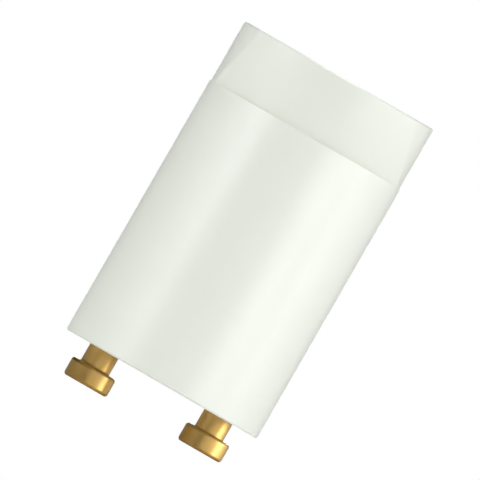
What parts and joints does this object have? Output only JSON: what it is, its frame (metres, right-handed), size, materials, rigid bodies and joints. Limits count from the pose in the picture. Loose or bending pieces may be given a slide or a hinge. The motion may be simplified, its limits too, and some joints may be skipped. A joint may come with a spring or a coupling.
{
  "type": "fluorescent starter",
  "caption": "White moulded fluorescent lamp starter with a two-sided finger grip and headed brass contact pins, holding a glow switch and a suppression capacitor",
  "frame": {"origin": "midway between the two contact pins, on the plane of their end faces", "axes": "+Z along the can from the pins to the grip, X through both pins, Y out of the finger recesses"},
  "size_m": [0.0212, 0.0212, 0.0382],
  "materials": {
    "white_polycarbonate": "semi-gloss moulded, very slightly warm and green",
    "base_moulding": "matt moulded, light grey",
    "pin_brass": "turned and polished",
    "solder": "bright tin solder",
    "bulb_glass": "clear blown glass",
    "lead_wire": "drawn wire, tinned",
    "bimetal": "rolled strip",
    "electrode_nickel": "rolled strip",
    "capacitor_film": "clear amber film over foil",
    "sprayed_zinc": "sprayed metal, rough"
  },
  "bodies": {
    "root": {"casing": "white_polycarbonate", "base_plate": "base_moulding", "contact_pin_left": "pin_brass", "contact_pin_right": "pin_brass", "solder_left": "solder", "solder_right": "solder", "glow_bulb_glass": "bulb_glass", "bulb_lead_left": "lead_wire", "bulb_lead_right": "lead_wire", "bimetal_strip": "bimetal", "counter_electrode": "electrode_nickel", "capacitor_roll": "capacitor_film", "capacitor_contact_left": "sprayed_zinc", "capacitor_contact_right": "sprayed_zinc", "capacitor_lead_left": "lead_wire", "capacitor_lead_right": "lead_wire"}
  },
  "joints": []
}
